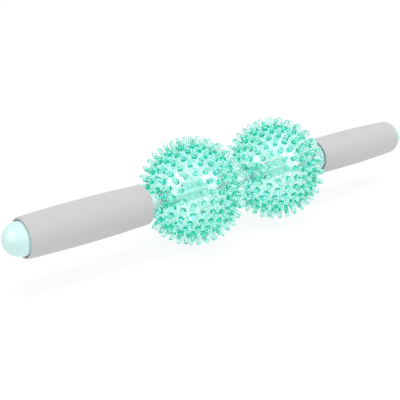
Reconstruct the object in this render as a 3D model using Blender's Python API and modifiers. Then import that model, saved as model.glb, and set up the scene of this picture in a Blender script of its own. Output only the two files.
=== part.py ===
"""Massage roller: two spiked balls that spin on one steel axle between two padded grips.

The axle lies along X. Z is up and Z = 0 is the surface that the lowest spikes stand on.
Every turned piece is drawn as a profile of (radius, station) points, where the station is
measured outwards from the middle of the roller, or from the ball's own centre on a ball.
The left side is the same set of pieces turned half a turn about the vertical.
"""

import math

import bmesh
import bpy
from mathutils import Vector

# Gap that every piece keeps to its neighbour, and how far a cutter runs past a face
FIT_GAP = 0.0003
CUT_OVERRUN = 0.002
MERGE_DISTANCE = 0.00001

# Spiked balls: rings of spikes about the ball's own axle line
BALL_CORE_RADIUS = 0.032
BALL_WALL = 0.0022
BALL_TIP_GAP = 0.0033
SPIKE_LENGTH = 0.008
SPIKE_RING_PITCH = 0.00708
SPIKE_PITCH = 0.00718
SPIKE_BASE_RADIUS = 0.0023
SPIKE_END_RADIUS = 0.0014
POLE_LAND_WIDTH = 0.00075

# Axle and what runs on it
AXLE_RADIUS = 0.0030
AXLE_PAST_NUT = 0.0020
AXLE_CHAMFER = 0.0005
THRUST_WASHER_WIDTH = 0.0018
THRUST_WASHER_THICKNESS = 0.0010
SPACER_WALL = 0.0025

# Hub inside each ball
BUSH_WALL = 0.0010
BUSH_LENGTH = 0.0095
BUSH_FLANGE_THICKNESS = 0.0010
HUB_TUBE_WALL = 0.0016
HUB_TUBE_SETBACK = 0.0008

# Moulded core of each handle
CORE_BORE_CLEARANCE = 0.0043
CORE_WALL = 0.0032
CORE_END_WALL = 0.0016
CORE_NECK_WALL = 0.0025
CORE_NECK_ROUNDING = 0.0012
CORE_NOSE_LENGTH = 0.0125
COLLAR_GAP = 0.0014
COLLAR_RIM_WIDTH = 0.0018
COLLAR_FLARE_LENGTH = 0.0023

# Padded grip
GRIP_BALL_CLEARANCE = 0.00525
GRIP_LENGTH = 0.0943
GRIP_MOUTH_DEPTH = 0.0026
GRIP_INNER_MOUTH_STEP = 0.0024
GRIP_OUTER_MOUTH_STEP = 0.0014
GRIP_INNER_LIP_WALL = 0.0007
GRIP_BELLY_WALL = 0.0038
GRIP_OUTER_LIP_WALL = 0.0012

# Fastening inside each handle
ANCHOR_FROM_CORE_END = 0.0320
ANCHOR_THICKNESS = 0.0060
NUT_ACROSS_FLATS = 0.0100
NUT_THICKNESS = 0.0050
NUT_WASHER_WIDTH = 0.0027
NUT_WASHER_THICKNESS = 0.0016

# Domed cap on the outer end of each handle
DOME_GAP = 0.0010
DOME_STAND_OUT = 0.0009
DOME_WALL = 0.0020
DOME_STEM_LENGTH = 0.0100
DOME_STEM_WALL = 0.0018

# Counts and angles
SPIKE_SIDES = 5
NUT_SIDES = 6
POLE_LAND_CORNERS = 20
LARGE_STEPS = 24
SMALL_STEPS = 18
BELLY_POINTS = 8
ROUNDING_POINTS = 3
DOME_ARC_POINTS = 7
DOME_HOLLOW_POINTS = 4
CAVITY_ARC_POINTS = 10
STAGGER_SHARE = 0.5
LIP_ROUNDING_SHARE = 0.9
SMOOTH_ANGLE = math.radians(35)
QUARTER_TURN = math.pi / 2
HALF_TURN = math.pi

# Radii that follow, from the axle outwards
BORE_RADIUS = AXLE_RADIUS + FIT_GAP
BUSH_RADIUS = BORE_RADIUS + BUSH_WALL
HUB_BORE_RADIUS = BUSH_RADIUS + FIT_GAP
HUB_TUBE_RADIUS = HUB_BORE_RADIUS + HUB_TUBE_WALL
POLE_OPENING_RADIUS = BUSH_RADIUS + FIT_GAP
POLE_LAND_RADIUS = POLE_OPENING_RADIUS + POLE_LAND_WIDTH
BUSH_FLANGE_RADIUS = POLE_LAND_RADIUS - FIT_GAP
THRUST_WASHER_RADIUS = BORE_RADIUS + THRUST_WASHER_WIDTH
SPACER_RADIUS = BORE_RADIUS + SPACER_WALL
CORE_NECK_RADIUS = BORE_RADIUS + CORE_NECK_WALL
CORE_BORE_RADIUS = BORE_RADIUS + CORE_BORE_CLEARANCE
CORE_RADIUS = CORE_BORE_RADIUS + CORE_WALL
CORE_END_BORE_RADIUS = CORE_RADIUS - CORE_END_WALL
ANCHOR_RADIUS = CORE_END_BORE_RADIUS - FIT_GAP
GRIP_BORE_RADIUS = CORE_RADIUS + FIT_GAP
GRIP_INNER_MOUTH_RADIUS = GRIP_BORE_RADIUS + GRIP_INNER_MOUTH_STEP
GRIP_OUTER_MOUTH_RADIUS = GRIP_BORE_RADIUS + GRIP_OUTER_MOUTH_STEP
GRIP_INNER_RADIUS = GRIP_INNER_MOUTH_RADIUS + GRIP_INNER_LIP_WALL
GRIP_BELLY_RADIUS = GRIP_BORE_RADIUS + GRIP_BELLY_WALL
GRIP_OUTER_RADIUS = GRIP_OUTER_MOUTH_RADIUS + GRIP_OUTER_LIP_WALL
COLLAR_RADIUS = GRIP_INNER_MOUTH_RADIUS - COLLAR_GAP
DOME_RADIUS = GRIP_OUTER_MOUTH_RADIUS - DOME_GAP
DOME_STEM_RADIUS = CORE_END_BORE_RADIUS - FIT_GAP

# Stations on a ball, from the ball's centre
BALL_TIP_RADIUS = BALL_CORE_RADIUS + SPIKE_LENGTH
CAVITY_RADIUS = BALL_CORE_RADIUS - BALL_WALL
POLE_LAND_STATION = math.sqrt(BALL_CORE_RADIUS**2 - POLE_LAND_RADIUS**2)
BUSH_SEAT = POLE_LAND_STATION + FIT_GAP
BUSH_FACE = BUSH_SEAT + BUSH_FLANGE_THICKNESS
BUSH_END = BUSH_FACE - BUSH_LENGTH
HUB_TUBE_END = math.sqrt(CAVITY_RADIUS**2 - POLE_OPENING_RADIUS**2) - HUB_TUBE_SETBACK

# Stations on the roller, from its middle outwards
AXLE_HEIGHT = BALL_TIP_RADIUS
BALL_CENTRE = BALL_TIP_RADIUS + BALL_TIP_GAP / 2
INNER_WASHER_START = BALL_CENTRE - BUSH_FACE - FIT_GAP - THRUST_WASHER_THICKNESS
OUTER_WASHER_START = BALL_CENTRE + BUSH_FACE + FIT_GAP
SPACER_END = INNER_WASHER_START - FIT_GAP
NOSE_START = OUTER_WASHER_START + THRUST_WASHER_THICKNESS + FIT_GAP
NOSE_END = NOSE_START + CORE_NOSE_LENGTH
GRIP_START = BALL_CENTRE + BALL_TIP_RADIUS + GRIP_BALL_CLEARANCE
GRIP_END = GRIP_START + GRIP_LENGTH
COLLAR_START = GRIP_START - COLLAR_RIM_WIDTH
COLLAR_END = GRIP_START + GRIP_MOUTH_DEPTH - FIT_GAP
NECK_END = COLLAR_START - COLLAR_FLARE_LENGTH
DOME_BASE = GRIP_END - GRIP_MOUTH_DEPTH
DOME_CENTRE = GRIP_END + DOME_STAND_OUT
CORE_END = DOME_BASE - FIT_GAP
CORE_SHOULDER = CORE_END - ANCHOR_FROM_CORE_END
ANCHOR_START = CORE_SHOULDER + FIT_GAP
NUT_WASHER_START = ANCHOR_START + ANCHOR_THICKNESS + FIT_GAP
NUT_START = NUT_WASHER_START + NUT_WASHER_THICKNESS + FIT_GAP
NUT_END = NUT_START + NUT_THICKNESS
AXLE_END = NUT_END + AXLE_PAST_NUT

# Colour, roughness, metallic and alpha of each finish
FINISHES = {
    "clear_mint": ((0.22, 0.80, 0.60), 0.15, 0.0, 0.55),
    "pale_mint": ((0.62, 0.90, 0.86), 0.30, 0.0, 1.0),
    "grey_foam": ((0.60, 0.60, 0.60), 0.80, 0.0, 1.0),
    "white_acetal": ((0.82, 0.82, 0.80), 0.45, 0.0, 1.0),
    "steel": ((0.62, 0.63, 0.65), 0.30, 1.0, 1.0),
}


def clear_scene():
    for old in list(bpy.data.objects):
        bpy.data.objects.remove(old, do_unlink=True)


def new_collection(name):
    collection = bpy.data.collections.new(name)
    bpy.context.scene.collection.children.link(collection)
    return collection


def make_material(piece, finish):
    """The material of one kind of piece, in one of the finishes."""
    colour, roughness, metallic, alpha = FINISHES[finish]
    material = bpy.data.materials.new(piece)
    material.use_nodes = True
    shader = material.node_tree.nodes["Principled BSDF"]
    shader.inputs["Base Color"].default_value = (*colour, 1.0)
    shader.inputs["Roughness"].default_value = roughness
    shader.inputs["Metallic"].default_value = metallic
    shader.inputs["Alpha"].default_value = alpha
    return material


def make_empty(name, collection, location=(0.0, 0.0, 0.0), turn=0.0, parent=None):
    """A marker that carries pieces, turned about the vertical."""
    empty = bpy.data.objects.new(name, None)
    empty.location = location
    empty.rotation_euler = (0.0, 0.0, turn)
    empty.parent = parent
    collection.objects.link(empty)
    return empty


def working_object(name, mesh):
    """An object that only lasts until its modifiers are applied."""
    work = bpy.data.objects.new(name, mesh)
    bpy.context.scene.collection.objects.link(work)
    return work


def applied_mesh(work, name):
    """The evaluated mesh of a working object, welded and facing out. The object is removed."""
    bpy.context.view_layer.update()
    evaluated = work.evaluated_get(bpy.context.evaluated_depsgraph_get())
    mesh = bpy.data.meshes.new_from_object(evaluated)
    mesh.name = name
    bpy.data.objects.remove(work, do_unlink=True)
    bm = bmesh.new()
    bm.from_mesh(mesh)
    bmesh.ops.remove_doubles(bm, verts=bm.verts, dist=MERGE_DISTANCE)
    bmesh.ops.recalc_face_normals(bm, faces=bm.faces)
    bm.to_mesh(mesh)
    bm.free()
    return mesh


def arc(centre, radius, start, end, points):
    """Profile points on an arc round a (radius, station) centre. Angles run from the outward station axis."""
    centre_radius, centre_station = centre
    step = (end - start) / (points - 1)
    angles = [start + step * i for i in range(points)]
    return [(centre_radius + radius * math.sin(a), centre_station + radius * math.cos(a)) for a in angles]


def tube_profile(inner, outer, start, end):
    return [(outer, end), (outer, start), (inner, start), (inner, end)]


def turned_mesh(name, profile, steps, closed=True):
    """A profile turned about Z. An open profile has both its ends on the axis."""
    bm = bmesh.new()
    corners = [bm.verts.new((radius, 0.0, station)) for radius, station in profile]
    followers = corners[1:] + corners[:1] if closed else corners[1:]
    for first, second in zip(corners, followers):
        bm.edges.new((first, second))
    outline = bpy.data.meshes.new(name + "_outline")
    bm.to_mesh(outline)
    bm.free()
    work = working_object(name + "_outline", outline)
    screw = work.modifiers.new("Turn", "SCREW")
    screw.axis = "Z"
    screw.angle = math.tau
    screw.steps = steps
    screw.render_steps = steps
    screw.use_merge_vertices = True
    screw.merge_threshold = MERGE_DISTANCE
    return applied_mesh(work, name)


def make_cutter(name, mesh, cutters):
    cutter = bpy.data.objects.new(name, mesh)
    cutter.hide_render = True
    cutter.display_type = "WIRE"
    cutters.objects.link(cutter)
    return cutter


def cut_mesh(name, blank, cutter):
    """The blank mesh with the cutter's shape taken out of it."""
    work = working_object(name, blank)
    cut = work.modifiers.new("Cut", "BOOLEAN")
    cut.operation = "DIFFERENCE"
    cut.object = cutter
    return applied_mesh(work, name)


def spike_directions():
    """Unit vectors of all spikes: rings of latitude about the axle, every second ring staggered.

    The angle round the axle runs from straight up, which is -X in the ball's own mesh.
    """
    ring_step = SPIKE_RING_PITCH / BALL_CORE_RADIUS
    foot_angle = math.atan2(SPIKE_BASE_RADIUS, BALL_CORE_RADIUS)
    foot_reach = math.hypot(BALL_CORE_RADIUS, SPIKE_BASE_RADIUS)
    last_latitude = math.acos(POLE_LAND_RADIUS / foot_reach) - foot_angle
    rings = int(last_latitude / ring_step)
    directions = []
    for ring in range(-rings, rings + 1):
        latitude = ring * ring_step
        spikes = round(math.tau * BALL_CORE_RADIUS * math.cos(latitude) / SPIKE_PITCH)
        for spike in range(spikes):
            angle = math.tau * (spike + STAGGER_SHARE * (ring % 2)) / spikes
            up = math.cos(latitude) * math.cos(angle)
            sideways = math.cos(latitude) * math.sin(angle)
            directions.append(Vector((-up, sideways, math.sin(latitude))))
    return directions


def spike_foot(bm, direction):
    """The corners of one spike's foot, all on the core's surface."""
    across = direction.orthogonal().normalized()
    along = direction.cross(across)
    seat = math.sqrt(BALL_CORE_RADIUS**2 - SPIKE_BASE_RADIUS**2)
    corners = []
    for side in range(SPIKE_SIDES):
        angle = math.tau * side / SPIKE_SIDES
        offset = across * math.cos(angle) + along * math.sin(angle)
        corners.append(bm.verts.new(direction * seat + offset * SPIKE_BASE_RADIUS))
    return corners


def pole_land(bm, side):
    """Add the corners of the flat land at one pole. The side is 1 or -1."""
    for i in range(POLE_LAND_CORNERS):
        angle = math.tau * i / POLE_LAND_CORNERS
        across = POLE_LAND_RADIUS * math.cos(angle)
        along = POLE_LAND_RADIUS * math.sin(angle)
        bm.verts.new((across, along, side * POLE_LAND_STATION))


def feet_faces(bm, feet):
    """One face for each spike's foot, merged from the hull's triangles between that foot's own corners."""
    owner = {corner: number for number, corners in enumerate(feet) for corner in corners}
    triangles = [[] for _ in feet]
    for face in bm.faces:
        owners = {owner.get(corner) for corner in face.verts}
        if len(owners) == 1 and None not in owners:
            triangles[owners.pop()].append(face)
    return [bmesh.ops.dissolve_faces(bm, faces=faces)["region"][0] for faces in triangles]


def draw_out_spike(bm, foot, direction):
    """Raise one foot into a tapered spike with a flat end."""
    end = bmesh.ops.extrude_discrete_faces(bm, faces=[foot])["faces"][0]
    middle = end.calc_center_median()
    for corner in end.verts:
        offset = corner.co - middle
        corner.co = direction * BALL_TIP_RADIUS + offset * (SPIKE_END_RADIUS / SPIKE_BASE_RADIUS)


def spiked_core_mesh():
    """The ball before it is hollowed: a hull over all spike feet, each foot drawn out into its spike."""
    bm = bmesh.new()
    directions = spike_directions()
    feet = [spike_foot(bm, direction) for direction in directions]
    for side in (1, -1):
        pole_land(bm, side)
    bmesh.ops.convex_hull(bm, input=bm.verts)
    for foot, direction in zip(feet_faces(bm, feet), directions):
        draw_out_spike(bm, foot, direction)
    bmesh.ops.recalc_face_normals(bm, faces=bm.faces)
    mesh = bpy.data.meshes.new("spiked_core")
    bm.to_mesh(mesh)
    bm.free()
    return mesh


def ball_cavity_mesh():
    """The ball's hollow and its two pole openings, as one solid."""
    reach = POLE_LAND_STATION + CUT_OVERRUN
    opening_angle = math.asin(POLE_OPENING_RADIUS / CAVITY_RADIUS)
    profile = [
        (0.0, reach),
        (POLE_OPENING_RADIUS, reach),
        *arc((0.0, 0.0), CAVITY_RADIUS, opening_angle, HALF_TURN - opening_angle, CAVITY_ARC_POINTS),
        (POLE_OPENING_RADIUS, -reach),
        (0.0, -reach),
    ]
    return turned_mesh("ball_cavity", profile, LARGE_STEPS, closed=False)


def ball_shell_mesh(cutters):
    """The soft hollow ball with its spikes and its two pole openings."""
    cavity = make_cutter("ball_cavity", ball_cavity_mesh(), cutters)
    return cut_mesh("ball_shell", spiked_core_mesh(), cavity)


def bush_mesh():
    """The flanged bush in a pole opening. It carries the shell and runs on the axle."""
    profile = [
        (BUSH_FLANGE_RADIUS, BUSH_FACE),
        (BUSH_FLANGE_RADIUS, BUSH_SEAT),
        (BUSH_RADIUS, BUSH_SEAT),
        (BUSH_RADIUS, BUSH_END),
        (BORE_RADIUS, BUSH_END),
        (BORE_RADIUS, BUSH_FACE),
    ]
    return turned_mesh("bush", profile, SMALL_STEPS)


def hub_tube_mesh():
    """The tube that joins the two bushes and backs the shell's wall from inside."""
    profile = tube_profile(HUB_BORE_RADIUS, HUB_TUBE_RADIUS, -HUB_TUBE_END, HUB_TUBE_END)
    return turned_mesh("hub_tube", profile, SMALL_STEPS)


def axle_mesh():
    end_radius = AXLE_RADIUS - AXLE_CHAMFER
    straight_end = AXLE_END - AXLE_CHAMFER
    profile = [
        (0.0, AXLE_END),
        (end_radius, AXLE_END),
        (AXLE_RADIUS, straight_end),
        (AXLE_RADIUS, -straight_end),
        (end_radius, -AXLE_END),
        (0.0, -AXLE_END),
    ]
    return turned_mesh("axle", profile, SMALL_STEPS, closed=False)


def centre_spacer_mesh():
    profile = tube_profile(BORE_RADIUS, SPACER_RADIUS, -SPACER_END, SPACER_END)
    return turned_mesh("centre_spacer", profile, SMALL_STEPS)


def thrust_washer_mesh(name, start):
    profile = tube_profile(BORE_RADIUS, THRUST_WASHER_RADIUS, start, start + THRUST_WASHER_THICKNESS)
    return turned_mesh(name, profile, SMALL_STEPS)


def belly_radius(share):
    """The grip's outer radius, from share 0 at its inner end to 1 at its outer end.

    A parabola through the radii of the inner lip, the middle and the outer lip.
    """
    inner = GRIP_INNER_RADIUS * (1 - share) * (1 - 2 * share)
    middle = GRIP_BELLY_RADIUS * 4 * share * (1 - share)
    outer = GRIP_OUTER_RADIUS * share * (2 * share - 1)
    return inner + middle + outer


def grip_mesh():
    """The padded sleeve: barrel shaped, rounded at both lips, with a shallow mouth at each end."""
    outer_rounding = GRIP_OUTER_LIP_WALL * LIP_ROUNDING_SHARE
    inner_rounding = GRIP_INNER_LIP_WALL * LIP_ROUNDING_SHARE
    outer_centre = (GRIP_OUTER_RADIUS - outer_rounding, GRIP_END - outer_rounding)
    inner_centre = (GRIP_INNER_RADIUS - inner_rounding, GRIP_START + inner_rounding)
    inner_floor = GRIP_START + GRIP_MOUTH_DEPTH
    shares = [1 - i / (BELLY_POINTS + 1) for i in range(1, BELLY_POINTS + 1)]
    profile = [
        (GRIP_OUTER_MOUTH_RADIUS, GRIP_END),
        *arc(outer_centre, outer_rounding, 0.0, QUARTER_TURN, ROUNDING_POINTS),
        *[(belly_radius(share), GRIP_START + share * GRIP_LENGTH) for share in shares],
        *arc(inner_centre, inner_rounding, QUARTER_TURN, HALF_TURN, ROUNDING_POINTS),
        (GRIP_INNER_MOUTH_RADIUS, GRIP_START),
        (GRIP_INNER_MOUTH_RADIUS, inner_floor),
        (GRIP_BORE_RADIUS, inner_floor),
        (GRIP_BORE_RADIUS, DOME_BASE),
        (GRIP_OUTER_MOUTH_RADIUS, DOME_BASE),
    ]
    return turned_mesh("grip", profile, LARGE_STEPS)


def handle_core_mesh():
    """The moulded tube under the grip: nose, neck, flared collar, and a bore with a shoulder inside."""
    rounding = CORE_NECK_ROUNDING
    nose_centre = (CORE_NECK_RADIUS - rounding, NOSE_START + rounding)
    profile = [
        (CORE_RADIUS, CORE_END),
        (CORE_RADIUS, COLLAR_END),
        (COLLAR_RADIUS, COLLAR_END),
        (COLLAR_RADIUS, COLLAR_START),
        (CORE_NECK_RADIUS, NECK_END),
        *arc(nose_centre, rounding, QUARTER_TURN, HALF_TURN, ROUNDING_POINTS),
        (BORE_RADIUS, NOSE_START),
        (BORE_RADIUS, NOSE_END),
        (CORE_BORE_RADIUS, NOSE_END),
        (CORE_BORE_RADIUS, CORE_SHOULDER),
        (CORE_END_BORE_RADIUS, CORE_SHOULDER),
        (CORE_END_BORE_RADIUS, CORE_END),
    ]
    return turned_mesh("handle_core", profile, LARGE_STEPS)


def anchor_disc_mesh():
    """The disc that seats on the core's shoulder and takes the pull of the nut."""
    profile = tube_profile(BORE_RADIUS, ANCHOR_RADIUS, ANCHOR_START, ANCHOR_START + ANCHOR_THICKNESS)
    return turned_mesh("anchor_disc", profile, LARGE_STEPS)


def nut_washer_mesh():
    outer = BORE_RADIUS + NUT_WASHER_WIDTH
    profile = tube_profile(BORE_RADIUS, outer, NUT_WASHER_START, NUT_WASHER_START + NUT_WASHER_THICKNESS)
    return turned_mesh("nut_washer", profile, SMALL_STEPS)


def axle_nut_mesh(cutters):
    """A hexagon nut on the end of the axle."""
    corner_radius = NUT_ACROSS_FLATS / 2 / math.cos(HALF_TURN / NUT_SIDES)
    bm = bmesh.new()
    bmesh.ops.create_cone(
        bm,
        cap_ends=True,
        segments=NUT_SIDES,
        radius1=corner_radius,
        radius2=corner_radius,
        depth=NUT_THICKNESS,
    )
    bmesh.ops.translate(bm, verts=bm.verts, vec=(0.0, 0.0, NUT_START + NUT_THICKNESS / 2))
    blank = bpy.data.meshes.new("nut_blank")
    bm.to_mesh(blank)
    bm.free()
    drill_profile = [
        (0.0, NUT_END + CUT_OVERRUN),
        (BORE_RADIUS, NUT_END + CUT_OVERRUN),
        (BORE_RADIUS, NUT_START - CUT_OVERRUN),
        (0.0, NUT_START - CUT_OVERRUN),
    ]
    drill_mesh = turned_mesh("nut_drill", drill_profile, SMALL_STEPS, closed=False)
    return cut_mesh("axle_nut", blank, make_cutter("nut_drill", drill_mesh, cutters))


def dome_cap_mesh():
    """The hollow rounded cap that closes the handle, with a stem that plugs the core."""
    stem_bore = DOME_STEM_RADIUS - DOME_STEM_WALL
    stem_end = DOME_BASE - DOME_STEM_LENGTH
    hollow_radius = DOME_RADIUS - DOME_WALL
    mouth_angle = math.asin(stem_bore / hollow_radius)
    profile = [
        *arc((0.0, DOME_CENTRE), DOME_RADIUS, 0.0, QUARTER_TURN, DOME_ARC_POINTS),
        (DOME_RADIUS, DOME_BASE),
        (DOME_STEM_RADIUS, DOME_BASE),
        (DOME_STEM_RADIUS, stem_end),
        (stem_bore, stem_end),
        *arc((0.0, DOME_CENTRE), hollow_radius, mouth_angle, 0.0, DOME_HOLLOW_POINTS),
    ]
    return turned_mesh("dome_cap", profile, LARGE_STEPS, closed=False)


def dressed(mesh, finish):
    """The mesh with its material and smooth shading, ready to be shared by like pieces."""
    mesh.materials.clear()
    mesh.materials.append(make_material(mesh.name, finish))
    mesh.shade_smooth()
    mesh.set_sharp_from_angle(angle=SMOOTH_ANGLE)
    return mesh


def place(name, mesh, parent, collection):
    """One piece, with its mesh's Z laid along the axle."""
    piece = bpy.data.objects.new(name, mesh)
    piece.parent = parent
    piece.rotation_euler = (0.0, QUARTER_TURN, 0.0)
    collection.objects.link(piece)


def handle_meshes(cutters):
    """The pieces of one side that stand still, by name."""
    outer_washer = thrust_washer_mesh("outer_thrust_washer", OUTER_WASHER_START)
    inner_washer = thrust_washer_mesh("inner_thrust_washer", INNER_WASHER_START)
    return {
        "grip": dressed(grip_mesh(), "grey_foam"),
        "handle_core": dressed(handle_core_mesh(), "pale_mint"),
        "dome_cap": dressed(dome_cap_mesh(), "pale_mint"),
        "anchor_disc": dressed(anchor_disc_mesh(), "white_acetal"),
        "nut_washer": dressed(nut_washer_mesh(), "steel"),
        "axle_nut": dressed(axle_nut_mesh(cutters), "steel"),
        "outer_thrust_washer": dressed(outer_washer, "white_acetal"),
        "inner_thrust_washer": dressed(inner_washer, "white_acetal"),
    }


def place_ball(side, centre, meshes, collection):
    """The pieces of one ball, which turn together about the axle."""
    place(side + "_ball_shell", meshes["shell"], centre, collection)
    place(side + "_hub_tube", meshes["tube"], centre, collection)
    for end, turn in (("outer", 0.0), ("inner", HALF_TURN)):
        pole = make_empty(f"{side}_{end}_pole", collection, turn=turn, parent=centre)
        place(f"{side}_{end}_bush", meshes["bush"], pole, collection)


def build_roller():
    clear_scene()
    roller = new_collection("massage_roller")
    cutters = new_collection("cutters")
    still = handle_meshes(cutters)
    turning = {
        "shell": dressed(ball_shell_mesh(cutters), "clear_mint"),
        "tube": dressed(hub_tube_mesh(), "clear_mint"),
        "bush": dressed(bush_mesh(), "white_acetal"),
    }
    middle = make_empty("axle_middle", roller, location=(0.0, 0.0, AXLE_HEIGHT))
    place("axle", dressed(axle_mesh(), "steel"), middle, roller)
    place("centre_spacer", dressed(centre_spacer_mesh(), "clear_mint"), middle, roller)
    for side, turn in (("right", 0.0), ("left", HALF_TURN)):
        half = make_empty(side + "_half", roller, turn=turn, parent=middle)
        for name, mesh in still.items():
            place(f"{side}_{name}", mesh, half, roller)
        centre = make_empty(side + "_ball_centre", roller, location=(BALL_CENTRE, 0.0, 0.0), parent=half)
        place_ball(side, centre, turning, roller)


build_roller()
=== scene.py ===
"""Dresses the massage roller: clear spiked balls on a steel axle between two foam grips.

The axle lies along X and Z is up. All lengths are metres. A turned piece is drawn as a profile of
(station, radius) points, where the station runs along the axle from the middle of the roller. The
axle and the spacer are drawn whole. All else is drawn for the right half, and its twin on the left
is the same piece turned half a turn about the vertical.
"""

import math
from collections import namedtuple

import bmesh
import bpy
from bpy.props import FloatProperty, FloatVectorProperty, IntProperty, PointerProperty
from mathutils import Matrix, Vector


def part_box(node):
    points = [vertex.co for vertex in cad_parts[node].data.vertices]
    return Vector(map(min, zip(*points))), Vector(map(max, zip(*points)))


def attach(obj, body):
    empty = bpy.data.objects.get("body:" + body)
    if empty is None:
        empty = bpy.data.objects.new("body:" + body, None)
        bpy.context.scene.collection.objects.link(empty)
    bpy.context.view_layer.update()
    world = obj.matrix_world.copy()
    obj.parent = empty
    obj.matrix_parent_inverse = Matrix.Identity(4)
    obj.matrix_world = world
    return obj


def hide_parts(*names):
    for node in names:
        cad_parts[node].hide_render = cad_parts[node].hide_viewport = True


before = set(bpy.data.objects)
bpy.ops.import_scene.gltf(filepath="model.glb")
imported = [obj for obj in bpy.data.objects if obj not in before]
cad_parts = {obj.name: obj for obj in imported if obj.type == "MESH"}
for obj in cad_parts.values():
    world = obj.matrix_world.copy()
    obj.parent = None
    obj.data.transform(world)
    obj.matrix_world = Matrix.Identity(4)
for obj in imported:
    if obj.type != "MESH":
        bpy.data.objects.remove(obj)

bl_info = {
    "name": "Spiked Massage Roller",
    "version": (1, 0, 0),
    "blender": (4, 5, 0),
    "location": "3D View > Sidebar > Roller",
    "description": "Makes the spiked balls, grips and fittings of a massage roller",
    "category": "Add Mesh",
}

Reach = namedtuple("Reach", "start end radius")


def reach_of(node):
    """Where a turned node starts and ends along the axle, and its largest radius."""
    low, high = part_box(node)
    return Reach(low.x, high.x, (high.z - low.z) / 2)


# Places and sizes that the frame gives
SHELL = reach_of("right_ball_shell")
GRIP = reach_of("right_grip")
CORE = reach_of("right_handle_core")
DOME = reach_of("right_dome_cap")
BUSH = reach_of("right_outer_bush")
HUB = reach_of("right_hub_tube")
INNER_WASHER = reach_of("right_inner_thrust_washer")
OUTER_WASHER = reach_of("right_outer_thrust_washer")
SPACER = reach_of("centre_spacer")
AXLE = reach_of("axle")
AXLE_HEIGHT = (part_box("axle")[0].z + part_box("axle")[1].z) / 2
BALL_CENTRE = (SHELL.start + SHELL.end) / 2

# Gap between neighbours, and the distance under which corners are one
FIT_GAP = 0.0003
WELD_DISTANCE = 0.00002

# Radius of the bore in all that sits or runs on the axle
AXLE_BORE = AXLE.radius + FIT_GAP

# Facets round the small tubes and the axle, round the cores and caps, and round the grips
TUBE_FACETS = 64
HANDLE_FACETS = 96
GRIP_FACETS = 128

# Points on a rounded edge of a tube, of a grip's lip and of any other piece
TUBE_EDGE_POINTS = 4
LIP_POINTS = 8
EDGE_POINTS = 5

# Points on the cap's dome outside and inside, and stretches along a grip
DOME_POINTS = 32
DOME_HOLLOW_POINTS = 16
GRIP_STRETCHES = 25

# Edges under these angles are shaded smooth
TURNED_SMOOTH_ANGLE = math.radians(40)
SPIKED_SMOOTH_ANGLE = math.radians(50)

# One spike from foot to tip: shares of its height and of its foot radius, row by row
SPIKE_HEIGHT_SHARES = (0.0, 0.035, 0.12, 0.50, 0.84, 0.955, 1.0)
SPIKE_RADIUS_SHARES = (1.0, 0.92, 0.87, 0.75, 0.61, 0.40, 0.0)

# The skin is cut away within this share of a foot's radius, and where it faces a pole this squarely
FOOT_SHARE_CUT = 0.94
POLE_FACING_CUT = 0.99

# Shares of the height of the painted shade at a spike's root: where that painted shade is full, how far it
# fades, and what still counts as wall
ROOT_RISE_SHARE = 0.2
ROOT_FADE_SHARE = 0.25
WALL_SHARE = 0.05

# How much the roughness of each finish varies
CLEAR_ROUGHNESS_RANGE = 0.03
SATIN_ROUGHNESS_RANGE = 0.08
FOAM_ROUGHNESS_RANGE = 0.14
STEEL_ROUGHNESS_RANGE = 0.14

# Refraction of the moulded plastic and of the foam
PLASTIC_REFRACTION = 1.49
FOAM_REFRACTION = 1.4

# Share of the foam's pits that its cells make, where a soft noise makes the rest
CELL_SHARE = 0.6

# How many times longer than wide a groove in the steel is, and how bright the painted shade at its bottom
# is
GROOVE_STRETCH = 40
GROOVE_SHADE_BRIGHTNESS = 0.86

# Nearest distance that the camera draws
CLIP_START = 0.01

# Directions from the roller to the soft boxes
SOFT_BOXES = {
    "left_soft_box": (-0.88, 0.05, 0.48),
    "front_soft_box": (0.29, -0.78, 0.56),
}


class Socket:
    """One output of a node, which can stand in a sum written in Python."""

    def __init__(self, wires, socket):
        self.wires = wires
        self.socket = socket

    def __add__(self, other):
        return self.wires.math("ADD", self, other)

    def __sub__(self, other):
        return self.wires.math("SUBTRACT", self, other)

    def __rsub__(self, other):
        return self.wires.math("SUBTRACT", other, self)

    def __mul__(self, other):
        return self.wires.math("MULTIPLY", self, other)

    def __truediv__(self, other):
        return self.wires.math("DIVIDE", self, other)

    def __pow__(self, other):
        return self.wires.math("POWER", self, other)

    __radd__ = __add__
    __rmul__ = __mul__


class Made:
    """A node that was added. Its outputs are read by name."""

    def __init__(self, wires, node):
        self.wires = wires
        self.node = node

    def __getitem__(self, name):
        return Socket(self.wires, self.node.outputs[name])


class Wires:
    """Adds and links the nodes of one tree, of a material, a world or a mesh."""

    def __init__(self, tree):
        self.tree = tree
        tree.nodes.clear()

    def add(self, kind, settings=None, inputs=None):
        """One node: its settings first, then the values or links of its sockets by name or number."""
        node = self.tree.nodes.new(kind)
        for name, value in (settings or {}).items():
            if name == "curve":
                self.set_curve(node.mapping, value)
            else:
                setattr(node, name, value)
        for key, value in (inputs or {}).items():
            self.feed(node.inputs[key], value)
        return Made(self, node)

    def feed(self, socket, value):
        """Link or set one socket. One that takes many links is given a list."""
        if isinstance(value, Socket):
            self.tree.links.new(value.socket, socket)
        elif socket.is_multi_input:
            for one in value:
                self.tree.links.new(one.socket, socket)
        else:
            socket.default_value = value

    def math(self, operation, *values):
        """The result of one Math node."""
        numbered = dict(enumerate(values))
        return self.add("ShaderNodeMath", {"operation": operation}, numbered)["Value"]

    @staticmethod
    def set_curve(mapping, values):
        """Straight runs through values that are spaced evenly from 0 to 1."""
        curve = mapping.curves[0]
        last = len(values) - 1
        for number in range(1, last):
            curve.points.new(number / last, values[number])
        for number, value in enumerate(values):
            curve.points[number].location = (number / last, value)
            curve.points[number].handle_type = "VECTOR"
        mapping.update()


def grey(level):
    return (level, level, level, 1.0)


def with_alpha(colour, share=1.0):
    """A colour, or a darker share of it, as a socket takes it."""
    return (*[channel * share for channel in colour], 1.0)


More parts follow.
